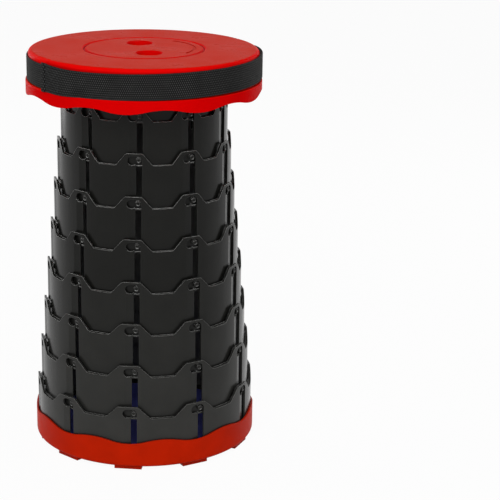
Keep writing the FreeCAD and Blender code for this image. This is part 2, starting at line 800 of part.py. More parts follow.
def make_strap_feet():
    """Ends of the handle, standing out from the band on both sides of the gap at the back."""
    body = new_body("strap_feet", level=f"{SEAT_LEVEL} + {STRAP_MIDDLE}")
    start = f"(sqrt({BAND_OUTSIDE} ^ 2 - foot_spread ^ 2) + webbing_gap)"
    end = "(seat_radius + handle_stand - handle_gap)"
    sketch = new_sketch(body, "strap_foot", "XY_Plane")
    rectangle(sketch, "foot_spread", "foot_spread + webbing", start, end)
    pad = extrude(body, sketch, "webbing_width", both_ways=True)
    mirror = body.newObject("PartDesign::Mirrored", "both_feet")
    mirror.Originals = [pad]
    mirror.MirrorPlane = (origin_feature(body, "YZ_Plane"), [""])
    body.Tip = mirror
    return body


def make_strap_handle():
    """Carrying loop, hanging from its fold line behind the seat."""
    body = new_body("strap_handle", level=f"{SEAT_LEVEL} + {STRAP_MIDDLE}",
                    distance="seat_radius + handle_stand")
    half = "(foot_spread - handle_gap)"
    inner_half = f"({half} - webbing / cos(handle_slant))"
    bend = f"(({half} * cos(handle_slant) - handle_reach * sin(handle_slant))"
    bend += " / (1 - sin(handle_slant)))"
    inner_bend = f"({bend} - webbing)"
    centre = f"(-handle_reach + {bend})"
    right_side = [
        (half, "handle_lap"),
        (half, "0"),
        (f"({bend} * cos(handle_slant))", f"{centre} - {bend} * sin(handle_slant)"),
    ]
    inner_side = [
        (inner_half, "handle_lap"),
        (inner_half, "0"),
        (f"({inner_bend} * cos(handle_slant))", f"{centre} - {inner_bend} * sin(handle_slant)"),
    ]
    left_side = [(f"-{across}", up) for across, up in reversed(right_side)]
    left_inner = [(f"-{across}", up) for across, up in inner_side]
    corners = right_side + left_side + left_inner + inner_side[::-1]
    arcs = {2: ("up", centre, "right"), 8: ("up", centre, "left")}
    sketch = new_sketch(body, "loop", "XZ_Plane")
    outline(sketch, corners, arcs)
    extrude(body, sketch, "webbing_width", both_ways=True)
    return body


# The stool

rings = [make_ring(number) for number in range(1, RING_COUNT + 1)]
drill_first_ring(rings[0])
drill_last_ring(rings[-1])

foot_angle = f"(asin(foot_spread / {BAND_OUTSIDE}) / 1 deg)"
tail_start = f"(slider_angle - {SLIDER_HALF_ANGLE})"

nodes = rings + [
    make_seat_shell(),
    make_seat_cap(),
    make_screws("seat_screws", f"{SEAT_LEVEL} - boss_height - flange_plate", "wave_angle - 90",
                "seat_screw_circle", "flange_plate + screw_grip"),
    make_base_tray(),
    make_screws("base_screws", "foot_height + floor_rise", f"wave_angle + {PERIOD} / 2 - 90",
                "base_screw_circle", "floor_plate + flange_plate - base_screw_tip"),
    make_wrap("strap_band", BAND_INSIDE, BAND_OUTSIDE, "webbing_width",
              f"360 - 2 * {foot_angle}", "0"),
    make_wrap("strap_tail", TAIL_INSIDE, f"{TAIL_INSIDE} + webbing", "webbing_width",
              f"{tail_start} - tail_angle", f"({tail_start} + tail_angle) / 2"),
    make_slider(),
    make_wrap("strap_label", TAIL_INSIDE, f"{TAIL_INSIDE} + label_plate", "label_height",
              f"label_width * 180 / pi / {TAIL_INSIDE}", "label_angle", "label_drop"),
    make_strap_feet(),
    make_strap_handle(),
]
doc.recompute()

# Checks before anything is written

for item in doc.Objects:
    if "Invalid" in item.State or "Error" in item.State:
        raise RuntimeError(f"{item.Label} failed: {item.State}")
    if item.TypeId == "PartDesign::Pocket":
        if item.BaseFeature.Shape.Volume - item.Shape.Volume < SMALLEST_CUT:
            raise RuntimeError(f"{item.Label} cuts nothing")
for node in nodes:
    if node.Shape.isNull() or not node.Shape.isValid():
        raise RuntimeError(f"{node.Label} has no valid shape")

os.makedirs("parts", exist_ok=True)
for node in nodes:
    node.Shape.exportStep(f"parts/{node.Label}.step")
    print(f"{node.Label}: {len(node.Shape.Solids)} solids, {node.Shape.Volume / 1000:.2f} cm3")
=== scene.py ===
import sys

import json
import math

import bpy
import numpy as np
from mathutils import Matrix, Vector


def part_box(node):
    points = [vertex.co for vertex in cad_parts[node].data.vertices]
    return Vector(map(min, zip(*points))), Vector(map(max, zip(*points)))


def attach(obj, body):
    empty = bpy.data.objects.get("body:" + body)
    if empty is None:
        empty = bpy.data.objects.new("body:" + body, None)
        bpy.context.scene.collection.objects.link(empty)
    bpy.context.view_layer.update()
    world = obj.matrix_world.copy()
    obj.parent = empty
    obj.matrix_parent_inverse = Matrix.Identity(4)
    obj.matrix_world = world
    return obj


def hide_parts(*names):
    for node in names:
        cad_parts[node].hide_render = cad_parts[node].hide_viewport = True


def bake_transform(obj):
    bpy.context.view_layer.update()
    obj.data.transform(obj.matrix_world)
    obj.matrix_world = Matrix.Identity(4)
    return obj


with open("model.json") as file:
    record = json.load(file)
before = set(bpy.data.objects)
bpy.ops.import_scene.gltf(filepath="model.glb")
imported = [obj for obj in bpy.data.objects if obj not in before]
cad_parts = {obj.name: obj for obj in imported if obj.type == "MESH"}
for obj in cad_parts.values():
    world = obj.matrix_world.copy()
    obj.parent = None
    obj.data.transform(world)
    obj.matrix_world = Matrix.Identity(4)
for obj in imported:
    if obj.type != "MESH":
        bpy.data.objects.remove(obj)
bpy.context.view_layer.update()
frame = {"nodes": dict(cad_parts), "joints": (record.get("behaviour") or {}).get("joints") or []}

MM = 0.001
RIGHT = Vector((1, 0, 0))
BACK = Vector((0, 1, 0))
UP = Vector((0, 0, 1))


# Places, read from the frame

nodes = frame["nodes"]
BAND_LOW, BAND_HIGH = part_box("strap_band")
HANDLE_LOW, HANDLE_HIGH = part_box("strap_handle")
SLIDER_LOW, SLIDER_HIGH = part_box("strap_slider")
SEAT_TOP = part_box("seat_shell")[1].z
FOLD = Vector(next(joint for joint in frame["joints"] if joint["name"] == "handle_fold")["pos_m"])

WEBBING = 1.4 * MM                # thickness of the strap's cloth
LAYER_STEP = 1.07 * WEBBING       # from the middle of one layer to that of the next
WEBBING_WIDTH = BAND_HIGH.z - BAND_LOW.z
STRAP_LEVEL = (BAND_LOW.z + BAND_HIGH.z) / 2
BAND_RADIUS = BAND_HIGH.x - WEBBING / 2
TAIL_RADIUS = BAND_RADIUS + LAYER_STEP
LOOP_SIDE = HANDLE_HIGH.x - WEBBING / 2 - 0.3 * MM     # from the middle to each run of the handle


# Small helpers

def srgb(red, green, blue):
    """Colour given in 0 to 255, as the linear values that Blender works with."""
    channels = []
    for level in (red, green, blue):
        share = level / 255
        channels.append(share / 12.92 if share <= 0.04045 else ((share + 0.055) / 1.055) ** 2.4)
    return (*channels, 1)


def round_place(radius, angle, level):
    """Point at an angle from the front, counted towards +X."""
    return Vector((radius * math.sin(angle), -radius * math.cos(angle), level))


def bell(distance, width, power=2):
    """Swell of 1 that fades to both sides. A higher power makes it flatter on top."""
    return math.exp(-(distance / width) ** power)


def smooth_step(share):
    """Share held between 0 and 1, with a soft start and end."""
    held = min(max(share, 0), 1)
    return held * held * (3 - 2 * held)


def tube_faces(rings, sides):
    """Faces of a closed tube: rings of as many points as sides, joined in order, both ends shut."""
    faces = []
    for ring in range(rings - 1):
        for side in range(sides):
            one = ring * sides + side
            two = ring * sides + (side + 1) % sides
            faces.append((one, two, two + sides, one + sides))
    last = (rings - 1) * sides
    faces.append(tuple(range(sides))[::-1])
    faces.append(tuple(range(last, last + sides)))
    return faces


def turned_over(faces):
    """Faces that look the other way."""
    return [(face[0], *face[:0:-1]) for face in faces]


def joined(parts):
    """Several pairs of points and faces as one pair."""
    points, faces = [], []
    for part_points, part_faces in parts:
        first = len(points)
        points += part_points
        faces += [tuple(first + index for index in face) for face in part_faces]
    return points, faces


def add_mesh(name, points, faces):
    """Mesh object with smooth shading, linked to the scene."""
    mesh = bpy.data.meshes.new(name)
    mesh.from_pydata([tuple(point) for point in points], [], faces)
    mesh.validate()
    mesh.update()
    mesh.polygons.foreach_set("use_smooth", [True] * len(mesh.polygons))
    piece = bpy.data.objects.new(name, mesh)
    bpy.context.scene.collection.objects.link(piece)
    return piece


def dress(piece, material):
    """Give a piece one material."""
    piece.data.materials.clear()
    piece.data.materials.append(material)


# Material building

WHITE = (1, 1, 1, 1)
RAY_SAMPLES = 6                   # rays of the nodes that round edges and find corners
NOISE_ROUGHNESS = 0.55
MOST_NOISE = (0.3, 0.7)           # range in which most of a noise's values lie
INWARD = -40 * MM                 # radius times slope, under which a face looks at the axis
EDGE_TURN = (0.996, 0.94)         # cosine of the turn from a face to its rounded edge
EDGE_RISE = (0.1, 0.6)            # upward share of the normal, from edges in shade to lit ones
EDGE_SHADED = 0.08                # share of its paleness that an edge in shade keeps


class NodeTree:
    """A tree of shader nodes, with short calls to add and join them."""

    def __init__(self, tree):
        self.tree = tree
        self.tree.nodes.clear()

    def add(self, kind, **settings):
        """New node with some of its settings."""
        node = self.tree.nodes.new(kind)
        for name, setting in settings.items():
            setattr(node, name, setting)
        return node

    def join(self, source, target):
        """Link from one socket to another."""
        self.tree.links.new(source, target)

    def feed(self, target, source):
        """Set a socket from another socket or to a value."""
        if isinstance(source, bpy.types.NodeSocket):
            self.join(source, target)
        else:
            target.default_value = source

    def maths(self, operation, one, two=0.0):
        """Result of a sum, product, comparison or the like."""
        node = self.add("ShaderNodeMath", operation=operation)
        self.feed(node.inputs[0], one)
        self.feed(node.inputs[1], two)
        return node.outputs["Value"]

    def seen_directly(self):
        """Share that is 1 for camera, glossy and transmission rays."""
        rays = self.add("ShaderNodeLightPath")
        either = self.maths("MAXIMUM", rays.outputs["Is Camera Ray"], rays.outputs["Is Glossy Ray"])
        return self.maths("MAXIMUM", either, rays.outputs["Is Transmission Ray"])

    def blended(self, share, one, two):
        """Mix of two shaders."""
        node = self.add("ShaderNodeMixShader")
        self.feed(node.inputs["Fac"], share)
        self.join(one, node.inputs[1])
        self.join(two, node.inputs[2])
        return node.outputs["Shader"]


class Shader(NodeTree):
    """A material, with short calls for its colours, marks and reliefs."""

    def __init__(self, name):
        self.material = bpy.data.materials.new(name)
        self.material.use_nodes = True
        super().__init__(self.material.node_tree)
        self.output = self.add("ShaderNodeOutputMaterial")
        self.surface = self.add("ShaderNodeBsdfPrincipled")
        self.join(self.surface.outputs["BSDF"], self.output.inputs["Surface"])

    def plain(self, **values):
        """Constant values on the surface shader's own sockets."""
        for name, number in values.items():
            self.surface.inputs[name.replace("_", " ")].default_value = number

    def painted(self, **sources):
        """Values that vary over the surface, on its shader's own sockets."""
        for name, source in sources.items():
            self.join(source, self.surface.inputs[name.replace("_", " ")])

    def place(self, scale=(1, 1, 1)):
        """The object's own coordinates, in metres times scale."""
        source = self.add("ShaderNodeTexCoord")
        mapping = self.add("ShaderNodeMapping")
        mapping.inputs["Scale"].default_value = scale
        self.join(source.outputs["Object"], mapping.inputs["Vector"])
        return mapping.outputs["Vector"]

    def attribute(self, name):
        """A value that the mesh carries at its points."""
        return self.add("ShaderNodeAttribute", attribute_name=name).outputs["Fac"]

    def normal(self, kind="Normal"):
        """Direction in which the surface looks."""
        return self.add("ShaderNodeNewGeometry").outputs[kind]

    def parts(self, vector):
        """X, Y and Z of a vector."""
        node = self.add("ShaderNodeSeparateXYZ")
        self.join(vector, node.inputs["Vector"])
        return node.outputs["X"], node.outputs["Y"], node.outputs["Z"]

    def reach(self):
        """Distance from the stool's axis."""
        across, deep, _ = self.parts(self.place())
        return self.maths("SQRT", self.maths("ADD", self.maths("MULTIPLY", across, across),
                                             self.maths("MULTIPLY", deep, deep)))

    def inside(self, radius, low, high):
        """Share that is 1 nearer than radius to the stool's axis and between two heights."""
        level = self.parts(self.place())[2]
        near = self.maths("LESS_THAN", self.reach(), radius)
        above = self.maths("GREATER_THAN", level, low)
        below = self.maths("LESS_THAN", level, high)
        return self.maths("MULTIPLY", near, self.maths("MULTIPLY", above, below))

    def inward(self):
        """Share that is 1 on faces that look at the stool's axis."""
        across, deep, _ = self.parts(self.place())
        side, front, _ = self.parts(self.normal())
        facing = self.maths("ADD", self.maths("MULTIPLY", across, side),
                            self.maths("MULTIPLY", deep, front))
        return self.maths("LESS_THAN", facing, INWARD)

    def spread(self, value, source, result=(0.0, 1.0)):
        """A value's range mapped to another, and held inside it."""
        node = self.add("ShaderNodeMapRange")
        self.feed(node.inputs["Value"], value)
        for name, number in zip(("From Min", "From Max", "To Min", "To Max"), (*source, *result)):
            node.inputs[name].default_value = number
        return node.outputs["Result"]

    def mixed(self, share, one, two):
        """Mix of two colours."""
        node = self.add("ShaderNodeMix", data_type="RGBA")
        self.feed(node.inputs["Factor"], share)
        self.feed(node.inputs["A"], one)
        self.feed(node.inputs["B"], two)
        return node.outputs["Result"]

    def noise(self, scale, detail=4, place=None):
        """Cloudy values between 0 and 1."""
        node = self.add("ShaderNodeTexNoise")
        node.inputs["Scale"].default_value = scale
        node.inputs["Detail"].default_value = detail
        node.inputs["Roughness"].default_value = NOISE_ROUGHNESS
        self.join(place or self.place(), node.inputs["Vector"])
        return node.outputs["Fac"]

    def turning_marks(self, scale):
        """Noise in circles round the axis, as a turned mould leaves them."""
        line = self.add("ShaderNodeCombineXYZ")
        self.join(self.reach(), line.inputs["X"])
        return self.noise(scale, detail=2, place=line.outputs["Vector"])

    def bump(self, height, distance, strength=1.0, base=None):
        """Normal of a surface with a relief, on top of another one."""
        node = self.add("ShaderNodeBump")
        node.inputs["Distance"].default_value = distance
        node.inputs["Strength"].default_value = strength
        self.join(height, node.inputs["Height"])
        if base is not None:
            self.join(base, node.inputs["Normal"])
        return node.outputs["Normal"]

    def rounded(self, radius):
        """Normal of the surface with its edges rounded."""
        node = self.add("ShaderNodeBevel", samples=RAY_SAMPLES)
        node.inputs["Radius"].default_value = radius
        return node.outputs["Normal"]

    def corners(self, distance):
        """Share of open sky over a spot, which falls in corners and hollows."""
        node = self.add("ShaderNodeAmbientOcclusion", samples=RAY_SAMPLES)
        node.inputs["Distance"].default_value = distance
        return node.outputs["AO"]

    def edges(self, rounded):
        """Share of an edge in a spot, most of all of one that faces up and catches the light."""
        dot = self.add("ShaderNodeVectorMath", operation="DOT_PRODUCT")
        self.join(rounded, dot.inputs[0])
        self.join(self.normal(), dot.inputs[1])
        turned = self.spread(dot.outputs["Value"], EDGE_TURN)
        rise = self.spread(self.parts(rounded)[2], EDGE_RISE, (EDGE_SHADED, 1.0))
        return self.maths("MULTIPLY", turned, rise)


# Plastics

MOTTLE_SCALE = 34
MOTTLE_SPAN = (0.35, 0.7)
SCUFF_SCALE = 190
SCUFF_STRETCH = (1, 1, 0.25)      # scuffs are four times as long upwards
SCUFF_SPAN = (0.3, 0.65)
SCUFFED = (0.6, 1.0)              # share of an edge's pale colour that its scuffs keep
# painted shade: corners and hollows are darkened towards black by how little sky they see
CORNER_REACH = 7 * MM
CORNER_SPAN = (0.35, 0.95)
CORNER_SHADE_BLACK = (0.004, 0.004, 0.004, 1)
DULLER = 0.05                     # roughness lost on dark spots
ROUGHER = 0.06                    # and gained on pale ones
WEAR_ROUGHNESS = 0.08
GRAIN_SCALE = 2600
WAVE_SCALE = 16
WAVE_STRENGTH = 0.35
RIM_REACH = 90 * MM               # from here outwards the seat's rounded edge takes a painted highlight
SLOPING = (0.1, 0.45)             # upward share of the normal, from a steep face to a slope
# share of the edge colour painted on the rim's slopes as a highlight
RIM_HIGHLIGHT_SHARE = 0.8
LEVEL = (0.95, 0.995)             # the same, from a slope to a level face
TURNING_SCALE = 230
TURNING_RISE = 0.25 * MM
TURNING_STRENGTH = 0.5


def level_tones(shader, tone, worn_highlight, top_sheen):
    """Tone with a painted highlight on its rim and a painted sheen on its level faces."""
    rise = shader.parts(shader.normal("True Normal"))[2]
    rim = shader.maths("GREATER_THAN", shader.reach(), RIM_REACH)
    rim_highlight = shader.maths("MULTIPLY", shader.spread(rise, SLOPING, (0.0, RIM_HIGHLIGHT_SHARE)), rim)
    tone = shader.mixed(rim_highlight, tone, worn_highlight)
    # painted sheen on the level faces
    return shader.mixed(shader.spread(rise, LEVEL), tone, top_sheen)


def moulded_plastic(name, colour, worn_highlight, roughness, gloss, edge, tint=WHITE, corner_shade=0.75,
                    mottling=1.18, waves=0.6 * MM, grain=0.04 * MM, hidden=None, top_sheen=None,
                    inner=None):
    """Moulded polypropylene: mottled colour, painted shade in corners, pale edges of wear and painted
    highlight, fine grain, soft unevenness.

    worn is the colour of its edges, partly scuffed wear and partly a painted highlight, and edge the
    radius that rounds them, gloss and tint are its reflection's strength and colour, depth is how
    dark the painted shade in its corners goes, mottling how much brighter the palest spots are, and
    waves and grain are heights. hidden gives a colour for one zone of a piece, how far it covers, and
    the radius and heights that bound it. dusty is the colour of a painted sheen on its level faces,
    which also have turning marks, and inner that of painted light on the faces that look at the axis.
    """
    shader = Shader(name)
    rounded = shader.rounded(edge)
    mottle = shader.noise(MOTTLE_SCALE, detail=5)
    scuffs = shader.noise(SCUFF_SCALE, detail=3, place=shader.place(SCUFF_STRETCH))
    # pale edges: partly scuffed wear, partly a painted highlight on edges that face up
    wear_and_highlight = shader.maths("MULTIPLY", shader.edges(rounded), shader.spread(scuffs, SCUFF_SPAN, SCUFFED))

    brighter = (*(min(1, channel * mottling) for channel in colour[:3]), 1)
    tone = shader.mixed(shader.spread(mottle, MOTTLE_SPAN), colour, brighter)
    if top_sheen:
        tone = level_tones(shader, tone, worn_highlight, top_sheen)
    # painted shade in corners and hollows
    shade = shader.spread(shader.corners(CORNER_REACH), CORNER_SPAN, (corner_shade, 0.0))
    tone = shader.mixed(shade, tone, CORNER_SHADE_BLACK)
    # painted light on the faces that look at the axis
    if inner:
        tone = shader.mixed(shader.inward(), tone, inner)
    # edge colour: scuffed wear and a painted highlight
    tone = shader.mixed(wear_and_highlight, tone, worn_highlight)
    if hidden:
        zone_colour, cover, *bounds = hidden
        tone = shader.mixed(shader.maths("MULTIPLY", shader.inside(*bounds), cover), tone, zone_colour)

    rough = shader.maths("ADD",
                         shader.spread(mottle, MOST_NOISE, (roughness - DULLER, roughness + ROUGHER)),
                         shader.maths("MULTIPLY", wear_and_highlight, WEAR_ROUGHNESS))
    normal = shader.bump(shader.noise(GRAIN_SCALE, detail=2), grain, base=rounded)
    normal = shader.bump(shader.noise(WAVE_SCALE, detail=1), waves, WAVE_STRENGTH, base=normal)
    if top_sheen:
        marks = shader.turning_marks(TURNING_SCALE)
        normal = shader.bump(marks, TURNING_RISE, TURNING_STRENGTH, base=normal)
    shader.painted(Base_Color=tone, Roughness=rough, Normal=normal)
    shader.plain(Specular_IOR_Level=gloss, Specular_Tint=tint)
    return shader.material


WARM = (1, 0.86, 0.68, 1)         # the red plastics' reflections
RED_GLOSS = 0.003
SEAT_RED = srgb(222, 1, 3)
# colour of the seat's edges and rim: scuffed wear and a painted highlight
SEAT_WORN_HIGHLIGHT = srgb(246, 8, 6)
CAP_RED = srgb(220, 1, 3)
# colour of the cap's edges: scuffed wear and a painted highlight
CAP_WORN_HIGHLIGHT = srgb(250, 6, 2)
# painted sheen of the seat's and cap's level faces
SEAT_TOP_SHEEN = srgb(212, 36, 2)
# painted shade in the gap of the seam round the cap
SEAM_SHADE_ZONE = (srgb(90, 2, 2), 1.0, 63.7 * MM, SEAT_TOP - 6 * MM, SEAT_TOP - 0.9 * MM)
# painted light that brightens the finger wells
WELL_LIGHT_ZONE = (srgb(236, 14, 6), 0.4, 45 * MM, SEAT_TOP - 16 * MM, SEAT_TOP - 1.2 * MM)
BASE_RED = srgb(190, 32, 2)
# colour of the base's edges: scuffed wear and a painted highlight
BASE_WORN_HIGHLIGHT = srgb(208, 44, 10)
FLOOR_ZONE = (srgb(62, 98, 190), 0.9, 118.5 * MM, 8 * MM, 12.5 * MM)
BIG_EDGE = 0.9 * MM               # radius that rounds the edges
FINE_EDGE = 0.4 * MM
SLIDER_EDGE = 0.6 * MM
RING_COUNT = 9
RING_GREY, GREY_GAIN = 24, 7      # level of the upper rings' colour, and its gain past the fifth
RING_LINE, LINE_LOSS = 255, 17    # level of their edges' colour, scuffed wear and a painted highlight, and its loss past the fourth
RING_SHADE, SHADE_GAIN = 0.35, 0.12                    # how dark their corners go, past the fifth too
RING_INSIDE_LIGHT = srgb(100, 100, 98)  # painted light on the rings' inward faces, seen through the slots
SLIDER_GREY = srgb(58, 59, 62)
# colour of the buckle's edges: scuffed wear and a painted highlight
SLIDER_WORN_HIGHLIGHT = srgb(150, 152, 155)


def dress_reds():
    """The seat and its cap, with a painted sheen on their level faces, and the base."""
    seat = moulded_plastic("seat_red", SEAT_RED, SEAT_WORN_HIGHLIGHT, roughness=0.3, gloss=RED_GLOSS,
                           edge=BIG_EDGE, tint=WARM, corner_shade=0.1, mottling=1.05, waves=0.3 * MM,
                           hidden=SEAM_SHADE_ZONE, top_sheen=SEAT_TOP_SHEEN)
    cap = moulded_plastic("cap_red", CAP_RED, CAP_WORN_HIGHLIGHT, roughness=0.3, gloss=RED_GLOSS,
                          edge=FINE_EDGE, tint=WARM, corner_shade=0.6, mottling=1.05, waves=0.3 * MM,
                          hidden=WELL_LIGHT_ZONE, top_sheen=SEAT_TOP_SHEEN)
    base = moulded_plastic("base_red", BASE_RED, BASE_WORN_HIGHLIGHT, roughness=0.46, gloss=0.035,
                           edge=BIG_EDGE, tint=WARM, corner_shade=0.4, hidden=FLOOR_ZONE)
    dress(nodes["seat_shell"], seat)
    dress(nodes["seat_cap"], cap)
    dress(nodes["base_tray"], base)


def dress_rings():
    """Black rings, of which the lower ones are greyer, with deeper painted shade in their corners and
    fainter painted highlights on their edges.
    """
    for number in range(1, RING_COUNT + 1):
        past_fourth = max(0, number - 4)
        past_fifth = max(0, number - 5)
        grey = RING_GREY + GREY_GAIN * past_fifth
        line = RING_LINE - LINE_LOSS * past_fourth
        black = moulded_plastic(f"ring_black_{number}", srgb(grey, grey, grey - 2),
                                srgb(line, line, line - 3), roughness=0.2, gloss=0.12, edge=FINE_EDGE,
                                corner_shade=RING_SHADE + SHADE_GAIN * past_fifth, grain=0.02 * MM,
                                inner=RING_INSIDE_LIGHT)
        dress(nodes[f"ring_{number}"], black)


# Cloth, thread and metal

WEBBING_BLACK = srgb(22, 22, 22)
WEBBING_PALE = srgb(92, 92, 91)   # of its raised yarns
RAISED_SPAN = (0.35, 1.0)
PATCH_SCALE = 60
PATCH_PALE = (0.55, 1.0)          # share of the paleness in darker and paler patches
YARN_SCALE = 1500
YARN_STRETCH = (1, 1, 3)          # yarns' fibres are longest along the strap
YARN_SPAN = (0.3, 0.65)
YARN_PALE = (0.7, 1.0)
YARN_RISE = 0.12 * MM
YARN_STRENGTH = 0.8
YARN_ROUGHNESS = (0.68, 0.86)
# painted shade in the weave's dips and at the strap's steps
DIP_REACH = 2.5 * MM
DIP_SPAN = (0.3, 0.9)
DIP_SHADE = 0.85
DIP_SHADE_BLACK = (0.001, 0.001, 0.001, 1)
TWIST_SCALE = 5200
TWIST_RISE = 0.05 * MM
TAPE_WHITE = srgb(226, 226, 222)
TAPE_DUST = srgb(208, 208, 203)
TAPE_DUST_SCALE = 240
TAPE_SCALE = 900
TAPE_WAVER = 0.6
TAPE_RISE = 0.08 * MM
TAPE_STRENGTH = 0.6
STEEL_DULL = srgb(176, 178, 180)
STEEL_BRIGHT = srgb(206, 206, 204)
STEEL_ROUGHNESS = (0.3, 0.48)
BLOTCH_SCALE = 420
METAL_GRAIN_SCALE = 3000
METAL_GRAIN = 0.03 * MM


def webbing_cloth():
    """Black polypropylene webbing: raised yarns paler than the dips between them, with painted shade in the
    dips.
    """
    shader = Shader("strap_webbing")
    yarn = shader.noise(YARN_SCALE, detail=3, place=shader.place(YARN_STRETCH))
    patch = shader.noise(PATCH_SCALE, detail=3)
    raised = shader.spread(shader.attribute("raised"), RAISED_SPAN)
    pale = shader.maths("MULTIPLY", raised, shader.spread(patch, MOST_NOISE, PATCH_PALE))
    pale = shader.maths("MULTIPLY", pale, shader.spread(yarn, YARN_SPAN, YARN_PALE))
    tone = shader.mixed(pale, WEBBING_BLACK, WEBBING_PALE)
    # painted shade in dips and at steps
    shade = shader.spread(shader.corners(DIP_REACH), DIP_SPAN, (DIP_SHADE, 0.0))
    shader.painted(Base_Color=shader.mixed(shade, tone, DIP_SHADE_BLACK),
                   Normal=shader.bump(yarn, YARN_RISE, YARN_STRENGTH),
                   Roughness=shader.spread(yarn, MOST_NOISE, YARN_ROUGHNESS))
    shader.plain(Specular_IOR_Level=0.06, Sheen_Weight=0.02, Sheen_Roughness=0.5)
    return shader.material


def thread(name, dark, pale):
    """Twisted sewing thread."""
    shader = Shader(name)
    twist = shader.noise(TWIST_SCALE, detail=2)
    shader.painted(Base_Color=shader.mixed(twist, dark, pale), Normal=shader.bump(twist, TWIST_RISE))
    shader.plain(Roughness=0.6, Specular_IOR_Level=0.25)
    return shader.material


def label_cloth():
    """Plain white woven tape."""
    shader = Shader("label_cloth")
    threads = shader.add("ShaderNodeTexWave", wave_type="BANDS", bands_direction="Z")
    threads.inputs["Scale"].default_value = TAPE_SCALE
    threads.inputs["Distortion"].default_value = TAPE_WAVER
    shader.join(shader.place(), threads.inputs["Vector"])
    dust = shader.spread(shader.noise(TAPE_DUST_SCALE, detail=3), MOST_NOISE)
    shader.painted(Base_Color=shader.mixed(dust, TAPE_WHITE, TAPE_DUST),
                   Normal=shader.bump(threads.outputs["Fac"], TAPE_RISE, TAPE_STRENGTH))
    shader.plain(Roughness=0.85, Specular_IOR_Level=0.15, Sheen_Weight=0.1)
    return shader.material


def plated_steel():
    """Zinc plated screw steel with a fine grain."""
    shader = Shader("plated_steel")
    blotch = shader.noise(BLOTCH_SCALE, detail=4)
    shader.painted(Base_Color=shader.mixed(blotch, STEEL_DULL, STEEL_BRIGHT),
                   Roughness=shader.spread(blotch, MOST_NOISE, STEEL_ROUGHNESS),
                   Normal=shader.bump(shader.noise(METAL_GRAIN_SCALE, detail=2), METAL_GRAIN))
    shader.plain(Metallic=1.0)
    return shader.material


def dress_screws():
    """Both sets of screws."""
    steel = plated_steel()
    for name in ("seat_screws", "base_screws"):
        dress(nodes[name], steel)


# Webbing

WARP_COUNT = 12                   # columns of yarn across the webbing
COLUMN_SAMPLES = 6
PICK = 2.1 * MM                   # length in which a column rises and dives once
PICK_SAMPLES = 5
WEAVE_RISE = 0.3 * MM
DIVE = 0.45                       # share of the rise that swings along a column
COLUMN_POWER = 0.6                # under 1, which makes the columns full
SELVEDGE = 1.0 * MM               # width over which the faces draw together
SELVEDGE_DRAW = 0.98              # how far they do, up to 1 for a sharp edge


def weave_height(along, across, width):
    """How far the woven face stands out: warp columns that rise and dive by turns."""
    column = (across / width + 0.5) * WARP_COUNT
    number = np.clip(np.floor(column), 0, WARP_COUNT - 1)
    crest = np.sin(np.pi * np.clip(column - number, 0, 1)) ** COLUMN_POWER
    swing = np.cos(2 * np.pi * along / PICK + np.pi * number)
    return ((1 - DIVE) * crest + DIVE * crest * swing - 0.5) * WEAVE_RISE


def ribbon(name, stations, width=WEBBING_WIDTH):
    """Closed woven band through stations of (middle, across, outward, distance along)."""
    samples = WARP_COUNT * COLUMN_SAMPLES
    across = np.linspace(-0.5, 0.5, samples + 1) * width
    edge = np.clip((width / 2 - np.abs(across)) / SELVEDGE, 0, 1)
    half = WEBBING / 2 * np.sqrt(1 - (1 - edge) ** 2 * SELVEDGE_DRAW)
    points = []
    raised = []
    for place, side, outward, along in stations:
        place, side, outward = (np.array(vector, float) for vector in (place, side, outward))
        front = weave_height(along, across, width)
        back = weave_height(along + PICK / 2, across, width)
        line = place + np.outer(across, side)
        points.append(line + np.outer(half + front * edge, outward))
        points.append((line - np.outer(half + back * edge, outward))[::-1])
        raised.append(front / WEAVE_RISE + 0.5)
        raised.append((back / WEAVE_RISE + 0.5)[::-1])
    piece = add_mesh(name, np.concatenate(points), tube_faces(len(stations), 2 * (samples + 1)))
    carried = piece.data.attributes.new("raised", "FLOAT", "POINT")
    carried.data.foreach_set("value", np.clip(np.concatenate(raised), 0, 1).astype(np.float32))
    return piece


def along_path(path):
    """Evenly spaced stations along a dense list of (middle, across, outward)."""
    middles = np.array([tuple(entry[0]) for entry in path], float)
    steps = np.linalg.norm(np.diff(middles, axis=0), axis=1)
    lengths = np.concatenate([[0], np.cumsum(steps)])
    count = max(2, int(round(lengths[-1] / (PICK / PICK_SAMPLES))) + 1)
    stations = []
    for distance in np.linspace(0, lengths[-1], count):
        index = min(int(np.searchsorted(lengths, distance, side="right")) - 1, len(steps) - 1)
        share = (distance - lengths[index]) / max(steps[index], sys.float_info.epsilon)
        middle, across, outward = (Vector(one).lerp(Vector(two), share)
                                   for one, two in zip(path[index], path[index + 1]))
        stations.append((middle, across.normalized(), outward.normalized(), distance))
    return stations


# The strap's inner layer

BAND_STEPS = 240
BAND_NARROW = 0.97                # share of the webbing's width that the pulled inner layer keeps
STRAP_RAISE = 0.5 * MM            # at the front
STRAP_SLOPE = 1.9 * MM            # more at the right, and as much less at the left
SLOPE_END = math.radians(95)
SLOPE_FADE = math.radians(33)
FOOT_TURN = 5 * MM                # size of the curve in which the band leaves the rim
FOOT_CORNER = 0.55                # where the curve's corner and its end lie, in that size
FOOT_END = 2.4
FOOT_STEPS = 12
FOOT_STOP = 9 * MM                # the foot ends this far before the fold line


def strap_tilt(angle):
    """Height that the strap gains: it slopes up to the right, and is level again at the buckle."""
    sloping = 1 - smooth_step((angle - SLOPE_END) / SLOPE_FADE)
    return (STRAP_RAISE + STRAP_SLOPE * math.sin(angle)) * sloping


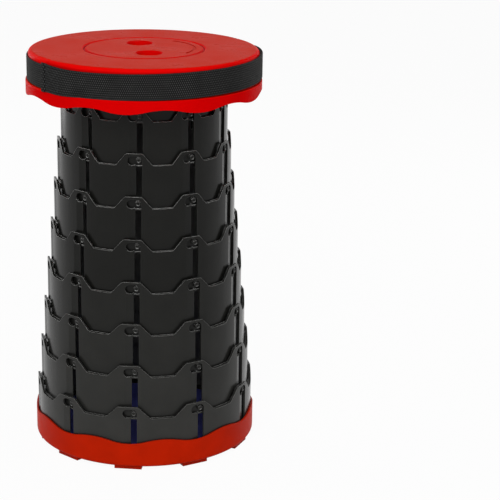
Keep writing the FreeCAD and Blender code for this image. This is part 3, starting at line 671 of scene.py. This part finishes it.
def foot_path(side):
    """Half of the band's end: it leaves the rim in a small curve and runs out to the fold line.

    Points go from the rim outwards, on the side given by +1 (right) or -1 (left).
    """
    start_angle = math.pi - math.asin((LOOP_SIDE + FOOT_TURN) / BAND_RADIUS)
    start = round_place(BAND_RADIUS, start_angle, STRAP_LEVEL)
    corner = Vector((LOOP_SIDE, start.y + FOOT_CORNER * FOOT_TURN, STRAP_LEVEL))
    end = Vector((LOOP_SIDE, start.y + FOOT_END * FOOT_TURN, STRAP_LEVEL))
    path = []
    for number in range(FOOT_STEPS + 1):
        share = number / FOOT_STEPS
        point = start * (1 - share) ** 2 + corner * 2 * share * (1 - share) + end * share ** 2
        heading = ((corner - start) * (1 - share) + (end - corner) * share).normalized()
        path.append((point, heading))
    path.append((Vector((LOOP_SIDE, FOLD.y - FOOT_STOP, STRAP_LEVEL)), BACK))
    placed = []
    for point, heading in path:
        outward = heading.cross(UP)
        placed.append((Vector((side * point.x, point.y, point.z)), UP,
                       Vector((side * outward.x, outward.y, 0))))
    return placed, start_angle


def band_path():
    """Inner layer of the strap, from its left foot round the front to its right foot."""
    right, end_angle = foot_path(1)
    left, _ = foot_path(-1)
    path = left[::-1]
    for number in range(1, BAND_STEPS):
        angle = -end_angle + 2 * end_angle * number / BAND_STEPS
        level = STRAP_LEVEL + max(strap_tilt(angle), 0)
        path.append((round_place(BAND_RADIUS, angle, level), UP, round_place(1, angle, 0)))
    return path + right


def make_band():
    """Strap's inner layer with its two ends, in place of the CAD's plain band and feet."""
    band = ribbon("strap_inner_layer", along_path(band_path()), width=WEBBING_WIDTH * BAND_NARROW)
    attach(band, "seat")
    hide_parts("strap_band", "strap_feet")
    return band


# The strap's outer layer

TAIL_STEPS = 1400
TAIL_END = math.radians(-55)
HEM = 5.2 * MM                    # folded hem at the loose end
HEM_RISE = 0.9 * MM
HEM_SOFTNESS = 0.45 * MM          # over which it falls to the single cloth
HEM_FLARE = 0.07                  # the folded end is pressed this share wider
FLARE_SPAN = 1.6 * HEM
GROOVE = 0.5 * MM                 # pressed in by the hem's seam
GROOVE_PLACE = HEM + 0.7 * MM
GROOVE_SPAN = 0.6 * MM
TAIL_WIDTH = 1.027                # the loose outer layer spreads a little
END_SPREAD = 0.07                 # and more near its end
SPREAD_PLACE, SPREAD_SPAN = math.radians(-52), math.radians(15)
END_LIFT = 1.4 * MM               # where it stands off over the skirt's edge
LIFT_PLACE, LIFT_SPAN = math.radians(-50), math.radians(16)
TURN_UP = 2 * MM
TURN_PLACE, TURN_SPAN = math.radians(-58), math.radians(12)
SLIDER = math.radians(140)
SLIDER_HALF = math.radians(10.3)
SLIDER_RADIUS = 125.2 * MM
UNDER_BAR = 0.85                  # share of the buckle's half that the cloth runs under
BAR_SPAN = 13.2 * MM              # middle of the buckle to where the webbing dives under an end bar
BAR_RISE = 4.9 * MM
CREASE = 0.5 * MM                 # pressed in by the middle bar
CREASE_SPAN = 0.7 * MM


def tail_radius(angle):
    """Middle of the outer layer: a hem at its end, and a hump over the buckle's middle bar."""
    from_end = (angle - TAIL_END) * TAIL_RADIUS
    hem = HEM_RISE * (1 - 1 / (1 + math.exp(-(from_end - HEM) / HEM_SOFTNESS)))
    groove = GROOVE * bell(from_end - GROOVE_PLACE, GROOVE_SPAN)
    lift = END_LIFT * bell(angle - LIFT_PLACE, LIFT_SPAN, power=6)
    from_bar = (angle - SLIDER) * SLIDER_RADIUS
    hump = 0
    if abs(from_bar) < BAR_SPAN:
        hump = BAR_RISE * (1 + math.cos(math.pi * from_bar / BAR_SPAN)) / 2
    crease = CREASE * bell(from_bar, CREASE_SPAN)
    return TAIL_RADIUS + hem - groove + lift + hump - crease


def tail_level(angle):
    """Height of the outer layer's middle, which turns up a little at its end."""
    return STRAP_LEVEL + strap_tilt(angle) + TURN_UP * bell(angle - TURN_PLACE, TURN_SPAN)


def tail_path():
    """Middle line of the outer layer, from its loose end to the buckle."""
    start = SLIDER + SLIDER_HALF * UNDER_BAR
    points = []
    for number in range(TAIL_STEPS + 1):
        angle = TAIL_END + (start - TAIL_END) * number / TAIL_STEPS
        points.append(round_place(tail_radius(angle), angle, tail_level(angle)))
    path = []
    for number, point in enumerate(points):
        heading = points[min(number + 1, TAIL_STEPS)] - points[max(number - 1, 0)]
        outward = heading.cross(UP).normalized()
        path.append((point, outward.cross(heading).normalized(), outward))
    return path


def make_tail():
    """Outer layer: from the buckle over the right side and the front to its folded end."""
    stations = []
    for place, across, outward, along in along_path(tail_path()):
        angle = TAIL_END + along / TAIL_RADIUS
        spread = END_SPREAD * bell(angle - SPREAD_PLACE, SPREAD_SPAN, power=4)
        flare = HEM_FLARE * bell(along, FLARE_SPAN)
        stations.append((place, across * (TAIL_WIDTH + spread + flare), outward, along))
    tail = ribbon("strap_outer_layer", stations)
    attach(tail, "seat")
    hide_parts("strap_tail")
    return tail


# The carrying handle

ELBOW = 14 * MM                   # radius of the bend from the feet into the hanging loop
KNEE_DROP = 4 * MM                # straight run under it
LEAD_IN = 4 * MM                  # straight run before it, in short steps
LEAD_STEP = 1.3 * MM
LEAD_COUNT = 4
LOOP_END = 12.6 * MM - WEBBING / 2
ARC_STEPS = 16
CUT_ROUNDS = 3


def handle_path():
    """Middle line of half the hanging loop: down from the elbow, in to the end's arc and along it."""
    top = Vector((LOOP_SIDE, 0, FOLD.z - ELBOW))
    knee = top - KNEE_DROP * UP
    centre = Vector((0, 0, HANDLE_LOW.z + WEBBING / 2 + LOOP_END))
    run = knee - centre
    tangent = math.atan2(run.z, run.x) - math.acos(LOOP_END / run.length)
    path = [top, knee]
    for number in range(ARC_STEPS + 1):
        angle = tangent + (-math.pi / 2 - tangent) * number / ARC_STEPS
        path.append(centre + LOOP_END * Vector((math.cos(angle), 0, math.sin(angle))))
    return path


def smooth_line(points):
    """Corner cutting at a quarter of each step, which keeps the two ends."""
    for _ in range(CUT_ROUNDS):
        cut = [points[0]]
        for one, two in zip(points, points[1:]):
            cut.append(one.lerp(two, 0.25))
            cut.append(one.lerp(two, 0.75))
        cut.append(points[-1])
        points = cut
    return points


def elbow_path():
    """The handle's right run, from its foot to the end of its bend down."""
    path = []
    for number in range(LEAD_COUNT):
        left_over = LEAD_IN - LEAD_STEP * number
        path.append((Vector((LOOP_SIDE, FOLD.y - ELBOW - left_over, FOLD.z)), UP, RIGHT))
    centre = Vector((LOOP_SIDE, FOLD.y - ELBOW, FOLD.z - ELBOW))
    for number in range(ARC_STEPS + 1):
        angle = math.pi / 2 * number / ARC_STEPS
        radial = Vector((0, math.sin(angle), math.cos(angle)))
        path.append((centre + ELBOW * radial, radial, RIGHT))
    return path


def make_handle():
    """Carrying loop: its ends turn down from the feet in an elbow and meet in a hanging arch."""
    half = smooth_line(handle_path())
    right = elbow_path()
    for before, point, after in zip(half, half[1:], half[2:]):
        heading = (after - before).normalized()
        right.append((Vector((point.x, FOLD.y, point.z)), BACK, Vector((-heading.z, 0, heading.x))))
    right.append((Vector((half[-1].x, FOLD.y, half[-1].z)), BACK, -UP))
    left = [(Vector((-place.x, place.y, place.z)), across, Vector((-outward.x, outward.y, outward.z)))
            for place, across, outward in right[:-1]]
    handle = ribbon("strap_carrying_loop", along_path(left + right[::-1]))
    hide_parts("strap_handle")
    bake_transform(handle)
    return handle


# Buckle

SLIDER_HEIGHT = SLIDER_HIGH.z - SLIDER_LOW.z
SLIDER_PLATE = 4 * MM
SLIDER_TIP = 2.4 * MM             # thickness that the plate thins to at its two ends
SLIDER_LENGTH = 45 * MM
END_BAR = 9 * MM
MIDDLE_BAR = 4 * MM
MIDDLE_BAR_PLATE = 2.9 * MM
RAIL = 2.2 * MM
RAIL_OVERLAP = 2 * MM             # how far the rails run into the end bars
BAR_SAMPLE = 0.8 * MM
BAR_ROUNDING = 0.9 * MM
LEAST_ROUNDING = 0.02 * MM
CORNER_STEPS = 5


def rounded_section(half_width, bottom, top, radius):
    """Rounded rectangle as pairs of height across and rise."""
    middle_rise = (bottom + top) / 2
    half_rise = (top - bottom) / 2
    pairs = []
    for turn, (side, end) in enumerate(((1, 1), (-1, 1), (-1, -1), (1, -1))):
        for step in range(CORNER_STEPS + 1):
            angle = math.pi / 2 * (turn + step / CORNER_STEPS)
            pairs.append((side * (half_width - radius) + radius * math.cos(angle),
                          middle_rise + end * (half_rise - radius) + radius * math.sin(angle)))
    return pairs


def bar_stations(start, end):
    """Distances along a bar with rounded ends, and how far its section draws in at each."""
    corner = []
    for step in range(CORNER_STEPS + 1):
        angle = math.pi / 2 * step / CORNER_STEPS
        corner.append((start + BAR_ROUNDING * (1 - math.cos(angle)),
                       BAR_ROUNDING * (1 - math.sin(angle))))
    run = end - start - 2 * BAR_ROUNDING
    count = max(3, int(run / BAR_SAMPLE))
    straight = [(start + BAR_ROUNDING + run * step / count, 0) for step in range(1, count)]
    return corner + straight + [(end - (along - start), inset) for along, inset in reversed(corner)]


def bent_bar(start, end, level, half_width, rise, end_rise=None):
    """Rounded bar along the rim, as points and faces: rise at its start, end_rise at its end."""
    end_rise = end_rise or rise
    stations = bar_stations(start, end)
    points = []
    for along, inset in stations:
        top = rise + (end_rise - rise) * (along - start) / (end - start)
        angle = SLIDER + along / SLIDER_RADIUS
        for across, height in rounded_section(half_width - inset, inset, top - inset,
                                              max(BAR_ROUNDING - inset, LEAST_ROUNDING)):
            points.append(round_place(SLIDER_RADIUS + height, angle, level + across))
    return points, turned_over(tube_faces(len(stations), 4 * (CORNER_STEPS + 1)))


def make_buckle():
    """Slider of rounded bars: two broad end bars, two rails and the middle bar."""
    half = SLIDER_LENGTH / 2
    half_height = SLIDER_HEIGHT / 2
    inner = half - END_BAR
    bars = [
        bent_bar(inner, half, STRAP_LEVEL, half_height, SLIDER_PLATE, end_rise=SLIDER_TIP),
        bent_bar(-half, -inner, STRAP_LEVEL, half_height, SLIDER_TIP, end_rise=SLIDER_PLATE),
        bent_bar(-MIDDLE_BAR / 2, MIDDLE_BAR / 2, STRAP_LEVEL, half_height - RAIL / 2, MIDDLE_BAR_PLATE),
    ]
    for side in (-1, 1):
        level = STRAP_LEVEL + side * (half_height - RAIL / 2)
        bars.append(bent_bar(-inner - RAIL_OVERLAP, inner + RAIL_OVERLAP, level, RAIL / 2, SLIDER_PLATE))
    buckle = add_mesh("strap_buckle", *joined(bars))
    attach(buckle, "seat")
    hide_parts("strap_slider")
    return buckle


# Label

LABEL = math.radians(160)
LABEL_SIZE = 12 * MM
LABEL_PLATE = 0.4 * MM
LABEL_DROP = 5 * MM               # from the strap's middle to the label's
LABEL_TOP = STRAP_LEVEL - LABEL_DROP + LABEL_SIZE / 2
LABEL_BACK = BAND_RADIUS + WEBBING / 2 + 0.25 * MM     # radius of its back at the upper edge
LABEL_STAND = 0.8 * MM            # how far its lower edge stands off
LABEL_RIPPLE = 0.12 * MM
RIPPLE_TURN, RIPPLE_START = 5, 1  # angle that the ripple goes through, and where it starts
LABEL_STEPS = 14


def label_points():
    """Front face and then back face of the label, in rows from its upper edge down."""
    points = []
    for thickness in (LABEL_PLATE, 0):
        for down in range(LABEL_STEPS + 1):
            share = down / LABEL_STEPS
            for step in range(LABEL_STEPS + 1):
                along = step / LABEL_STEPS
                ripple = LABEL_RIPPLE * share * math.sin(RIPPLE_TURN * along + RIPPLE_START)
                points.append(round_place(LABEL_BACK + LABEL_STAND * share ** 2 + thickness + ripple,
                                          LABEL + LABEL_SIZE * (along - 0.5) / TAIL_RADIUS,
                                          LABEL_TOP - LABEL_SIZE * share))
    return points


def label_faces():
    """Faces of its two sides and of the rim between them."""
    count = LABEL_STEPS + 1
    behind = count * count
    faces = []
    for down in range(LABEL_STEPS):
        for step in range(LABEL_STEPS):
            one = down * count + step
            square = (one, one + count, one + count + 1, one + 1)
            faces.append(square)
            faces.append(tuple(behind + index for index in turned_over([square])[0]))
    rim = list(range(count))
    rim += [down * count + LABEL_STEPS for down in range(1, count)]
    rim += [LABEL_STEPS * count + step for step in range(LABEL_STEPS - 1, -1, -1)]
    rim += [down * count for down in range(LABEL_STEPS - 1, 0, -1)]
    for one, two in zip(rim, rim[1:] + rim[:1]):
        faces.append((one, two, behind + two, behind + one))
    return faces


def make_label():
    """Folded white tape, sewn on along its upper edge, its lower edge standing off a little."""
    label = add_mesh("strap_sewn_label", label_points(), label_faces())
    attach(label, "seat")
    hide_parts("strap_label")
    return label


# Stitches

STITCH_RADIUS = 0.26 * MM
STITCH_SIDES = 6
STITCH_PITCH = 2.6 * MM
STITCH_ENDS = (0.1, 0.9)          # share of the pitch where a stitch starts and ends
STITCH_PROFILE = ((0.0, 0.35), (0.15, 0.85), (0.5, 1.0), (0.85, 0.85), (1.0, 0.35))
STITCH_RISE = 0.08 * MM           # of its middle over the cloth
STITCH_DIVE = 0.3 * MM            # of its ends
BOX_NEAR, BOX_FAR = 7 * MM, 25 * MM                    # from the loose end
BOX_HALF = 10 * MM
LABEL_SEAM_HALF = 0.44 * LABEL_SIZE
LABEL_SEAM_DROP = 1 * MM
ON_CLOTH = 0.05 * MM              # of the stitches' places over the outer layer's face


def stitch(start, end, outward):
    """One stitch between two points of a cloth's face, as points and faces."""
    axis = (end - start).normalized()
    side = axis.cross(outward).normalized()
    points = []
    for share, size in STITCH_PROFILE:
        middle = start.lerp(end, share) + outward * (STITCH_RISE - STITCH_DIVE * (2 * share - 1) ** 2)
        for step in range(STITCH_SIDES):
            angle = 2 * math.pi * step / STITCH_SIDES
            points.append(middle + STITCH_RADIUS * size * (side * math.cos(angle)
                                                           + outward * math.sin(angle)))
    return points, tube_faces(len(STITCH_PROFILE), STITCH_SIDES)


def sew(name, seams, place, material):
    """Rows of stitches. A seam is a pair of (distance, height) ends, and place gives a spot on the cloth."""
    stitches = []
    for (from_along, from_height), (to_along, to_height) in seams:
        along_run = to_along - from_along
        height_run = to_height - from_height
        count = max(1, round(math.hypot(along_run, height_run) / STITCH_PITCH))
        for number in range(count):
            shares = [(number + part) / count for part in STITCH_ENDS]
            (start, one_out), (end, two_out) = (
                place(from_along + along_run * share, from_height + height_run * share)
                for share in shares)
            stitches.append(stitch(start, end, ((one_out + two_out) / 2).normalized()))
    seam = add_mesh(name, *joined(stitches))
    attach(seam, "seat")
    dress(seam, material)


def on_tail(along, height):
    """Spot on the outer layer's face, counted from its loose end, and the way out of the face."""
    angle = TAIL_END + along / TAIL_RADIUS
    radius = tail_radius(angle) + WEBBING / 2 + ON_CLOTH
    return round_place(radius, angle, tail_level(angle) + height), round_place(1, angle, 0)


def on_label(along, height):
    """Spot on the label's face, counted from its middle and its upper edge."""
    angle = LABEL + along / TAIL_RADIUS
    return round_place(LABEL_BACK + LABEL_PLATE, angle, LABEL_TOP + height), round_place(1, angle, 0)


def make_stitches():
    """Crossed box that holds the loose end down, and the label's seam."""
    low_near, high_near = (BOX_NEAR, -BOX_HALF), (BOX_NEAR, BOX_HALF)
    low_far, high_far = (BOX_FAR, -BOX_HALF), (BOX_FAR, BOX_HALF)
    box = [(low_near, high_near), (high_near, high_far), (high_far, low_far), (low_far, low_near),
           (low_near, high_far), (high_near, low_far)]
    sew("strap_box_stitches", box, on_tail, thread("sewing_thread", srgb(20, 20, 22), srgb(52, 53, 56)))
    line = [((-LABEL_SEAM_HALF, -LABEL_SEAM_DROP), (LABEL_SEAM_HALF, -LABEL_SEAM_DROP))]
    sew("strap_label_stitches", line, on_label,
        thread("label_thread", srgb(196, 196, 192), srgb(232, 232, 228)))


# The camera, read from the photograph's frame of 500 by 500

IMAGE = 500
FOCAL_PIXELS = 1673.7
SENSOR = 36
CLIP_END = 50
CAMERA_PLACE = (0.0, -1.7522, 0.7429)
CAMERA_YAW = -3.762
CAMERA_PITCH = 16.965
CAMERA_ROLL = 0.960


def make_camera():
    """Camera at the photograph's place, turned as it was there."""
    data = bpy.data.cameras.new("camera")
    data.sensor_width = SENSOR
    data.lens = SENSOR * FOCAL_PIXELS / IMAGE
    data.clip_end = CLIP_END
    camera = bpy.data.objects.new("camera", data)
    bpy.context.scene.collection.objects.link(camera)
    level = Matrix.Rotation(math.radians(90), 4, "X")
    pitch = Matrix.Rotation(math.radians(-CAMERA_PITCH), 4, "X")
    roll = Matrix.Rotation(math.radians(CAMERA_ROLL), 4, "Z")
    yaw = Matrix.Rotation(math.radians(CAMERA_YAW), 4, "Z")
    camera.matrix_world = Matrix.Translation(CAMERA_PLACE) @ yaw @ level @ pitch @ roll
    bpy.context.scene.camera = camera


# Floor, background and lamps

FLOOR_HALF = 12
FLOOR_PALE = (0.9, 0.9, 0.9, 1)
FLOOR_GLOW = 0.95                 # the rest of the floor takes the light, and so the shadow
STUDIO_LIGHT = 0.3
LAMP_AIM = Vector((0, 0, 0.25))
LAMPS = (                         # name, place, width and height, and watts
    ("key_light", (-0.4, -2.0, 1.6), (1.3, 1.2), 26),
    ("left_light", (-1.05, 1.4, 0.6), (0.36, 1.4), 7),
    ("right_light", (1.3, 1.15, 0.6), (0.14, 1.4), 6),
    ("top_light", (0.1, -0.5, 2.2), (1.2, 1.2), 5),
)


def make_floor():
    """Pale floor that shows white and keeps a soft shadow."""
    points = [(FLOOR_HALF * across, FLOOR_HALF * deep, 0)
              for across, deep in ((-1, -1), (1, -1), (1, 1), (-1, 1))]
    floor = add_mesh("floor", points, [(0, 1, 2, 3)])
    shader = Shader("floor_white")
    shader.plain(Base_Color=FLOOR_PALE, Roughness=0.9, Specular_IOR_Level=0.0)
    glow = shader.add("ShaderNodeEmission")
    glow.inputs["Color"].default_value = WHITE
    share = shader.maths("MULTIPLY", shader.seen_directly(), FLOOR_GLOW)
    both = shader.blended(share, shader.surface.outputs["BSDF"], glow.outputs["Emission"])
    shader.join(both, shader.output.inputs["Surface"])
    dress(floor, shader.material)


def make_world():
    """Even studio light, which shows as a white background."""
    world = bpy.data.worlds.new("studio")
    bpy.context.scene.world = world
    world.use_nodes = True
    tree = NodeTree(world.node_tree)
    skies = []
    for strength in (STUDIO_LIGHT, 1.0):
        sky = tree.add("ShaderNodeBackground")
        sky.inputs["Color"].default_value = WHITE
        sky.inputs["Strength"].default_value = strength
        skies.append(sky.outputs["Background"])
    output = tree.add("ShaderNodeOutputWorld")
    tree.join(tree.blended(tree.seen_directly(), *skies), output.inputs["Surface"])


def make_lights():
    """Front key, two side boxes that draw the rings' edges, and one above."""
    for name, place, size, power in LAMPS:
        data = bpy.data.lights.new(name, "AREA")
        data.shape = "RECTANGLE"
        data.size, data.size_y = size
        data.energy = power
        lamp = bpy.data.objects.new(name, data)
        bpy.context.scene.collection.objects.link(lamp)
        lamp.location = place
        lamp.rotation_mode = "QUATERNION"
        lamp.rotation_quaternion = (LAMP_AIM - Vector(place)).to_track_quat("-Z", "Y")


make_camera()
make_world()
make_floor()
make_lights()
dress_reds()
dress_rings()
dress_screws()

strap_cloth = webbing_cloth()
for strap_piece in (make_band(), make_tail(), make_handle()):
    dress(strap_piece, strap_cloth)

dress(make_buckle(), moulded_plastic("slider_plastic", SLIDER_GREY, SLIDER_WORN_HIGHLIGHT, roughness=0.34,
                                     gloss=0.3, edge=SLIDER_EDGE))
dress(make_label(), label_cloth())
make_stitches()

bpy.context.scene.view_settings.view_transform = "Standard"
